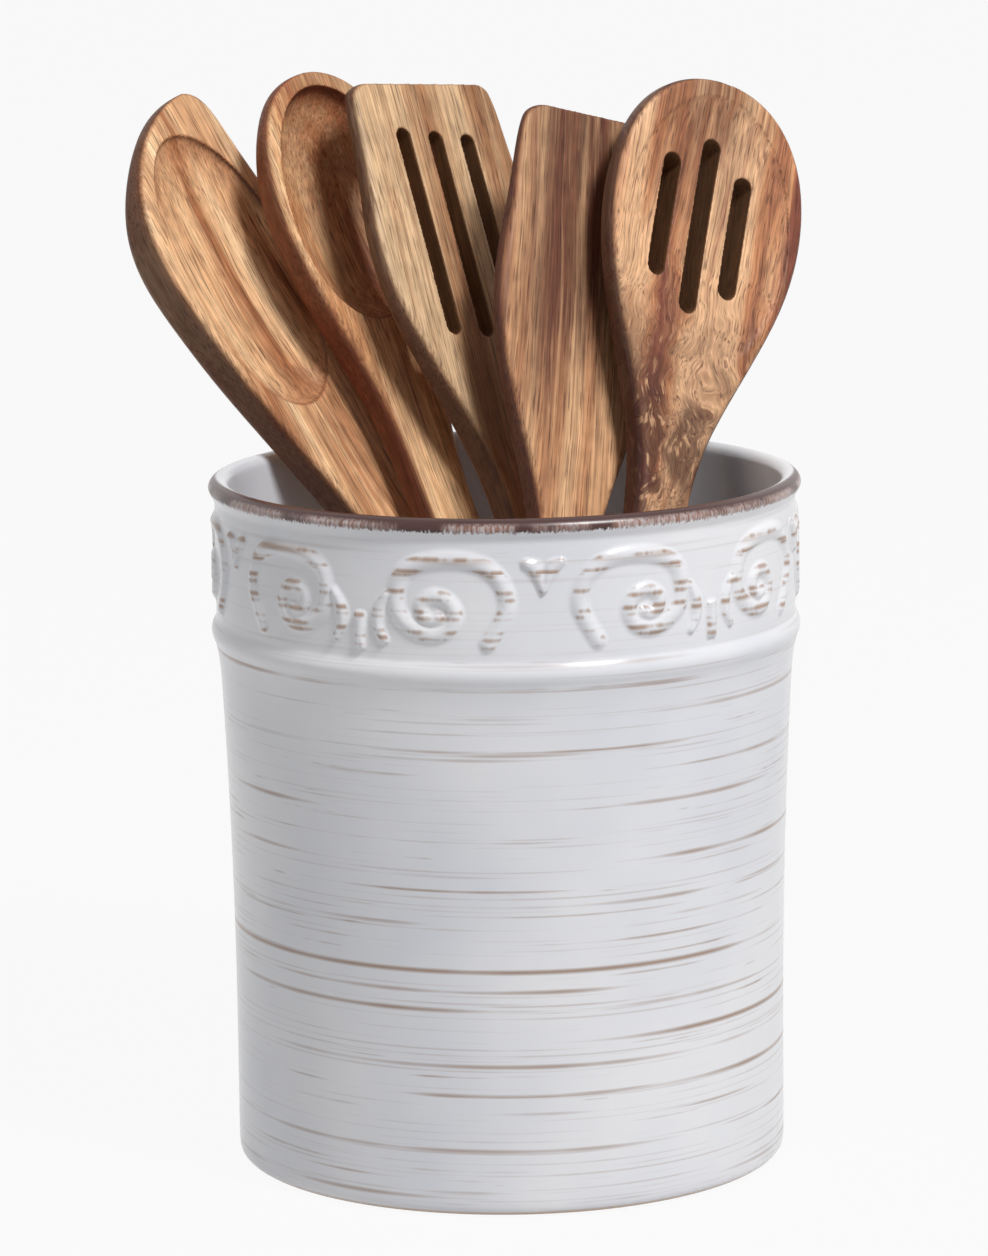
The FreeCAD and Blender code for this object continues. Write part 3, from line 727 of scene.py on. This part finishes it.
@dataclass
class Crock:
    """The turned crock with its scroll relief, replacing the plain CAD node."""

    height: float = 178.0
    foot_radius: float = 71.2
    foot_edge: float = 3.0
    flare_start: float = 35.0
    body_top_radius: float = 73.9
    body_top: float = 131.5
    bead_radius: float = 75.9
    bead_height: float = 139.0
    bead_half: float = 3.2
    band_radius: float = 74.6
    lip_radius: float = 76.2
    lip_thick: float = 5.4
    lip_depth: float = 5.6
    wall: float = 5.6
    floor: float = 9.0
    inner_corner: float = 7.0
    doubled: float = 0.02
    softening: int = 2
    relief_height: float = 1.1
    relief_inset: float = 0.05
    relief_reach: float = 1.3
    relief_power: float = 1.7
    scroll_pairs: int = 5
    first_bud: float = 7.0
    around: int = 960
    scroll: Stroke = Stroke((
        (13.7, 146.9), (10.4, 152.4), (8.9, 157.0), (10.6, 162.4), (14.6, 166.2), (21.5, 167.8),
        (29.8, 167.0), (35.0, 164.4), (37.0, 159.0), (36.3, 154.0), (32.4, 150.4), (27.6, 149.0),
        (23.6, 150.4), (21.9, 154.2), (23.8, 157.7), (27.4, 158.7), (30.2, 156.8), (30.0, 153.8),
        (27.8, 152.6), (25.8, 153.2)), (2.1, 2.3, 1.7))
    frond: Stroke = Stroke(((39.4, 158.6), (41.4, 155.0), (41.8, 150.8), (40.0, 147.2)), (1.2, 1.8, 1.1))
    drop: Stroke = Stroke(((46.4, 153.0), (46.8, 149.2), (46.2, 145.2)), (1.1, 1.8, 0.9))
    bud: Stroke = Stroke(((4.4, 167.0), (1.9, 165.2), (0.0, 159.8)), (1.2, 2.1, 0.8))

    def profile(self) -> np.ndarray:
        """Follows the turned outline from the middle of the foot round the lip to the middle of the floor.

        Returns:
            Rows of radius and height in millimetres.
        """
        flat, inner = self.foot_radius - self.foot_edge, self.foot_radius - self.wall
        lip_half = self.lip_thick / 2.0
        lip_mid, mouth = self.height - lip_half, self.lip_radius - self.lip_thick
        z = np.linspace(self.foot_edge, self.body_top, 44)
        swell = np.clip((z - self.flare_start) / (self.body_top - self.flare_start), 0.0, 1.0) ** 2
        body = np.stack([self.foot_radius + (self.body_top_radius - self.foot_radius) * swell, z], axis=1)
        step = 0.5 * (self.body_top_radius + self.bead_radius)
        across = np.linspace(-1.0, 1.0, 22)
        root = np.where(across < 0, step, self.band_radius)
        bulge = root + (self.bead_radius - root) * np.cos(across * math.pi / 2.0)
        bead = np.stack([bulge, self.bead_height + self.bead_half * across], axis=1)
        low, high = self.bead_height + self.bead_half, self.height - self.lip_depth
        deep = self.floor + self.inner_corner
        rows = np.concatenate([
            self._line((0.0, 0.0), (flat, 0.0), 8),
            self._turn((flat, self.foot_edge), self.foot_edge, -90.0, 0.0, 8),
            body,
            bead,
            self._line((self.band_radius, low), (self.band_radius, high), 70),
            self._line((self.band_radius, high), (self.lip_radius, lip_mid), 8),
            self._turn((self.lip_radius - lip_half, lip_mid), lip_half, 0.0, 180.0, 22),
            self._line((mouth, lip_mid), (inner, deep), 36),
            self._turn((inner - self.inner_corner, deep), self.inner_corner, 0.0, -90.0, 10),
            self._line((inner - self.inner_corner, self.floor), (0.0, self.floor), 10)])
        keep = np.ones(len(rows), bool)
        keep[1:] = np.linalg.norm(np.diff(rows, axis=0), axis=1) > self.doubled
        rows = rows[keep]
        for _ in range(self.softening):
            rows[1:-1] = 0.25 * rows[:-2] + 0.5 * rows[1:-1] + 0.25 * rows[2:]
        rows[:, 1] = np.clip(rows[:, 1], 0.0, self.height)
        return rows

    @staticmethod
    def _line(start: Span, end: Span, count: int) -> np.ndarray:
        """Evenly spaced places from start to end."""
        return np.linspace(start, end, count)

    @staticmethod
    def _turn(centre: Span, radius: float, start: float, end: float, count: int) -> np.ndarray:
        """Evenly spaced places on an arc, angles in degrees."""
        angle = np.radians(np.linspace(start, end, count))
        return np.stack([centre[0] + radius * np.cos(angle), centre[1] + radius * np.sin(angle)], axis=1)

    def relief(self, azimuth: np.ndarray, z: np.ndarray) -> np.ndarray:
        """Height of the scroll relief, 0 to 1.

        Args:
            azimuth: degrees round from the front to the right.
            z: heights in millimetres.

        Returns:
            One value for each place.
        """
        pitch = 360.0 / self.scroll_pairs
        folded = (azimuth - self.first_bud + pitch / 2.0) % pitch - pitch / 2.0
        aside = np.abs(folded) * math.radians(1.0) * self.band_radius
        closest = np.full(aside.shape, np.inf)
        for stroke in (self.scroll, self.frond, self.drop, self.bud):
            line, widths = stroke.sample()
            for (place, level), width in zip(line, widths):
                np.minimum(closest, np.hypot(aside - place, z - level) / width, out=closest)
        return np.clip(1.0 - (closest / self.relief_reach) ** 2, 0.0, 1.0) ** self.relief_power

    def build(self) -> bpy.types.Object:
        """Turns the profile into a mesh, raises the relief and hides the plain node.

        Returns:
            The crock's object.
        """
        rows = self.profile()[1:-1]
        azimuth = np.arange(self.around) * 360.0 / self.around
        radius = np.repeat(rows[:, :1], self.around, axis=1)
        height = np.repeat(rows[:, 1:], self.around, axis=1)
        raised = np.zeros_like(radius)
        top = self.height - self.lip_depth
        outer = rows[:, 0] > self.band_radius - 1.0
        on_band = outer & (rows[:, 1] > self.bead_height) & (rows[:, 1] < top)
        grid = np.broadcast_to(azimuth, (int(on_band.sum()), self.around))
        raised[on_band] = self.relief(grid, height[on_band])
        radius = np.minimum(radius + self.relief_height * raised, self.lip_radius - self.relief_inset)
        angle = np.radians(azimuth)
        points = np.stack([radius * np.sin(angle), -radius * np.cos(angle), height], axis=-1).reshape(-1, 3)
        points = np.vstack([points, (0.0, 0.0, 0.0), (0.0, 0.0, self.floor)]) * MM
        mesh = bpy.data.meshes.new("stoneware_crock")
        mesh.from_pydata(points.tolist(), [], self._faces(len(rows)))
        mesh.polygons.foreach_set("use_smooth", np.ones(len(mesh.polygons), bool))
        steps = np.linalg.norm(np.diff(rows, axis=0), axis=1)
        along = np.concatenate([[0.0], np.cumsum(steps)])
        crest = along[np.argmax(rows[:, 1])]
        rim = np.repeat(crest - along, self.around)
        # The last two values are those of the middle of the foot and the middle of the floor.
        self._store(mesh, "rim", np.append(rim, (99.0, -99.0)))
        self._store(mesh, "relief", np.append(raised.ravel(), (0.0, 0.0)))
        crock = bpy.data.objects.new("stoneware_crock", mesh)
        bpy.context.scene.collection.objects.link(crock)
        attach(crock, "crock")
        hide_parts("crock")
        return crock

    def _faces(self, count: int) -> list[list[int]]:
        """Joins the rings of points, and closes the foot and the floor round their middles.

        Args:
            count: number of rings.

        Returns:
            Point numbers of each face.
        """
        ring, column = np.meshgrid(np.arange(count - 1), np.arange(self.around), indexing="ij")
        following = (column + 1) % self.around
        low, high = ring * self.around, (ring + 1) * self.around
        quads = np.stack([low + column, low + following, high + following, high + column], axis=-1)
        column = np.arange(self.around)
        following = (column + 1) % self.around
        foot, last = count * self.around, (count - 1) * self.around
        under = np.stack([np.full_like(column, foot), following, column], axis=1)
        inside = np.stack([np.full_like(column, foot + 1), last + column, last + following], axis=1)
        return quads.reshape(-1, 4).tolist() + under.tolist() + inside.tolist()

    @staticmethod
    def _store(mesh: bpy.types.Mesh, name: str, values: np.ndarray) -> None:
        """Keeps one number for each vertex as a named attribute."""
        mesh.attributes.new(name, "FLOAT", "POINT").data.foreach_set("value", values.astype(np.float32))

    def dress(self, crock: bpy.types.Object) -> None:
        """Gives the crock its glaze."""
        crock.data.materials.append(BrushedStonewareGlaze().make())


@dataclass
class WoodenTool:
    """One tool, shown from its CAD node with hand-sanded edges.

    Its face looks to the bearing `faces`, in degrees from the front round to the right.
    """

    node: str
    faces: float
    finish: OiledAcacia
    voxel: float = 0.4
    sanding: int = 3
    handle: float = 60.0

    def build(self) -> bpy.types.Object:
        """Softens the carved edges as sanding does.

        Returns:
            The tool's CAD object with its modifiers.
        """
        tool = frame["nodes"][self.node]
        skin = tool.modifiers.new("even_skin", "REMESH")
        skin.mode = "VOXEL"
        skin.voxel_size = self.voxel * MM
        skin.use_smooth_shade = True
        sand = tool.modifiers.new("sanding", "SMOOTH")
        sand.factor = 0.5
        sand.iterations = self.sanding
        return tool

    def axes(self) -> tuple[Vector, Matrix]:
        """Works out the tool's own frame from its slide and its mesh.

        Returns:
            Foot of the handle's axis, and the rotation of across, along and face.
        """
        joint = next(j for j in frame["joints"] if j["child"] == self.node)
        along = Vector(joint["axis"]).normalized()
        bearing = math.radians(self.faces)
        facing = Vector((math.sin(bearing), -math.cos(bearing), 0.0))
        face = (facing - along * facing.dot(along)).normalized()
        across = along.cross(face)
        turn = Matrix((across, along, face)).transposed()
        points = np.array([turn.transposed() @ v.co for v in frame["nodes"][self.node].data.vertices])
        foot = points[:, 1].min()
        handle = points[points[:, 1] < foot + self.handle * MM]
        middle = 0.5 * (handle.min(axis=0) + handle.max(axis=0))
        return turn @ Vector((middle[0], foot, middle[2])), turn

    def dress(self, tool: bpy.types.Object) -> None:
        """Gives the tool its wood."""
        origin, turn = self.axes()
        tool.data.materials.clear()
        tool.data.materials.append(self.finish.make(origin, turn))


TOOLS = (
    WoodenTool("corner_spoon", 56.0, OiledAcacia(
        "Acacia_golden_carved_oiled", "#FAD3A6", "#E8B688", "#A96F4A", "#4A2519", 2.0,
        heart_at=18.0, heart_width=9.0, heart_amount=0.2, end_amount=0.6)),
    WoodenTool("spoon", 43.0, OiledAcacia(
        "Acacia_reddish_carved_oiled", "#F0C494", "#DBA472", "#A76744", "#6A3323", 17.0,
        heart_at=6.0, heart_width=24.0, heart_amount=0.5, heart_from=190.0, end_amount=0.3)),
    WoodenTool("slotted_turner", 43.0, OiledAcacia(
        "Acacia_light_carved_oiled", "#D8B58E", "#C69D76", "#9C6B48", "#4F2B1C", 31.0,
        heart_at=24.0, heart_width=10.0, heart_amount=0.2, slots=RoutedSlots(0.0, 14.0, 215.0, 276.0))),
    WoodenTool("spatula", 27.0, OiledAcacia(
        "Acacia_brown_carved_oiled", "#E6B689", "#BF875F", "#82503B", "#4C241C", 47.0,
        heart_at=-3.0, heart_width=25.0, heart_amount=0.8, heart_from=200.0, sap_from=-18.0, sap_amount=0.2)),
    WoodenTool("slotted_spoon", 27.5, OiledAcacia(
        "Acacia_figured_carved_oiled", "#E6B68C", "#BC8059", "#7E4838", "#47261F", 61.0,
        heart_at=-4.0, heart_width=19.0, heart_amount=0.55, heart_from=258.0, figure=Figure.BURLED,
        end_amount=0.1, slots=RoutedSlots(-1.4, 14.2, 226.0, 275.5))),
)


@dataclass(frozen=True)
class Lamp:
    """One soft panel lamp: place and panel in metres, power in watts."""

    name: str
    place: tuple[float, float, float]
    width: float
    height: float
    power: float


@dataclass
class Studio:
    """Pale floor, soft lamps and the camera.

    The floor's size, the lamps' aim and the camera's far end are in metres, and angles in degrees.
    """

    eye: tuple[float, float, float] = (-3.13, -1524.0, 416.0)
    pitch: float = 10.36
    roll: float = -0.67
    focal_px: float = 6000.0
    sensor: float = 36.0
    far_end: float = 100.0
    floor_size: float = 30.0
    floor_drop: float = 0.2
    background: str = "#FBFBFB"
    paper: str = "#D8D8D8"
    floor_glow: float = 0.97
    world_light: float = 0.22
    lamp_aim: tuple[float, float, float] = (0.0, 0.0, 0.13)
    lamps: tuple[Lamp, ...] = (
        Lamp("key", (0.94, -1.06, 1.8), 0.55, 0.55, 42.0),
        Lamp("left_fill", (-1.6, -0.3, 0.6), 1.4, 1.4, 4.4))

    def build(self) -> None:
        """Sets the view transform and makes the camera, lamps, world and floor."""
        scene = bpy.context.scene
        scene.view_settings.view_transform = "Standard"
        self._camera(scene)
        for lamp in self.lamps:
            self._light(lamp)
        self._world(scene)
        self._floor()

    def _camera(self, scene: bpy.types.Scene) -> None:
        """Places the camera at the photograph's angle.

        Args:
            scene: the scene that gets the camera.
        """
        data = bpy.data.cameras.new("camera")
        data.sensor_width = self.sensor
        data.lens = self.focal_px * self.sensor / IMAGE_HEIGHT_PX
        data.clip_end = self.far_end
        camera = bpy.data.objects.new("camera", data)
        scene.collection.objects.link(camera)
        down, roll = math.radians(self.pitch), math.radians(self.roll)
        forward = Vector((0.0, math.cos(down), -math.sin(down)))
        right = Vector((1.0, 0.0, 0.0))
        up = right.cross(forward)
        turned = right * math.cos(roll) + up * math.sin(roll)
        upright = up * math.cos(roll) - right * math.sin(roll)
        turn = Matrix((turned, upright, -forward)).transposed().to_4x4()
        camera.matrix_world = Matrix.Translation(Vector(self.eye) * MM) @ turn
        scene.camera = camera

    def _light(self, lamp: Lamp) -> None:
        """Adds a soft panel that looks at the middle of the object.

        Args:
            lamp: its place, size and power.
        """
        data = bpy.data.lights.new(lamp.name, "AREA")
        data.shape = "RECTANGLE"
        data.size = lamp.width
        data.size_y = lamp.height
        data.energy = lamp.power
        panel = bpy.data.objects.new(lamp.name, data)
        panel.location = lamp.place
        beam = Vector(self.lamp_aim) - Vector(lamp.place)
        panel.rotation_euler = beam.to_track_quat("-Z", "Y").to_euler()
        bpy.context.scene.collection.objects.link(panel)

    def _shown(self, tree: Tree) -> Socket:
        """Tells what the camera sees, directly, mirrored or through glass, from what only lights.

        Args:
            tree: the node tree of the floor or the world.

        Returns:
            1 where it is seen, 0 where it lights.
        """
        path = add_node(tree, "ShaderNodeLightPath").outputs
        first = add_node(tree, "ShaderNodeMath", {0: path["Is Camera Ray"], 1: path["Is Glossy Ray"]},
                         operation="MAXIMUM").outputs[0]
        return add_node(tree, "ShaderNodeMath", {0: first, 1: path["Is Transmission Ray"]},
                        operation="MAXIMUM").outputs[0]

    def _world(self, scene: bpy.types.Scene) -> None:
        """Even light from all round, seen as the plain background.

        Args:
            scene: the scene that gets the world.
        """
        world = bpy.data.worlds.new("studio")
        scene.world = world
        world.use_nodes = True
        tree = world.node_tree
        tree.nodes.clear()
        light = add_node(tree, "ShaderNodeBackground", {0: WHITE, 1: self.world_light}).outputs[0]
        seen = add_node(tree, "ShaderNodeBackground", {0: linear(self.background), 1: 1.0}).outputs[0]
        both = add_node(tree, "ShaderNodeMixShader", {0: self._shown(tree), 1: light, 2: seen}).outputs[0]
        add_node(tree, "ShaderNodeOutputWorld", {0: both})

    def _floor(self) -> None:
        """Matt paper floor that reads as the background and keeps a little of the shadow."""
        half = self.floor_size / 2.0
        corners = [(-half, -half, 0.0), (half, -half, 0.0), (half, half, 0.0), (-half, half, 0.0)]
        mesh = bpy.data.meshes.new("floor")
        mesh.from_pydata(corners, [], [(0, 1, 2, 3)])
        floor = bpy.data.objects.new("floor", mesh)
        floor.location.z = -self.floor_drop * MM
        bpy.context.scene.collection.objects.link(floor)
        material, tree = new_material("Pale_paper_floor")
        paper = add_node(tree, "ShaderNodeBsdfDiffuse", {0: linear(self.paper)}).outputs[0]
        glow = add_node(tree, "ShaderNodeEmission", {0: linear(self.background), 1: 1.0}).outputs[0]
        share = add_node(tree, "ShaderNodeMath", {0: self._shown(tree), 1: self.floor_glow},
                         operation="MULTIPLY").outputs[0]
        both = add_node(tree, "ShaderNodeMixShader", {0: share, 1: paper, 2: glow}).outputs[0]
        add_node(tree, "ShaderNodeOutputMaterial", {0: both})
        mesh.materials.append(material)


def main() -> None:
    """Builds and dresses every piece."""
    logging.basicConfig(level=logging.INFO, format="%(message)s")
    Studio().build()
    crock = Crock()
    body = crock.build()
    crock.dress(body)
    log.info("crock: %d faces", len(body.data.polygons))
    for tool in TOOLS:
        tool.dress(tool.build())
        log.info("%s: %s", tool.node, tool.finish.name)


if __name__ == "__main__":
    main()
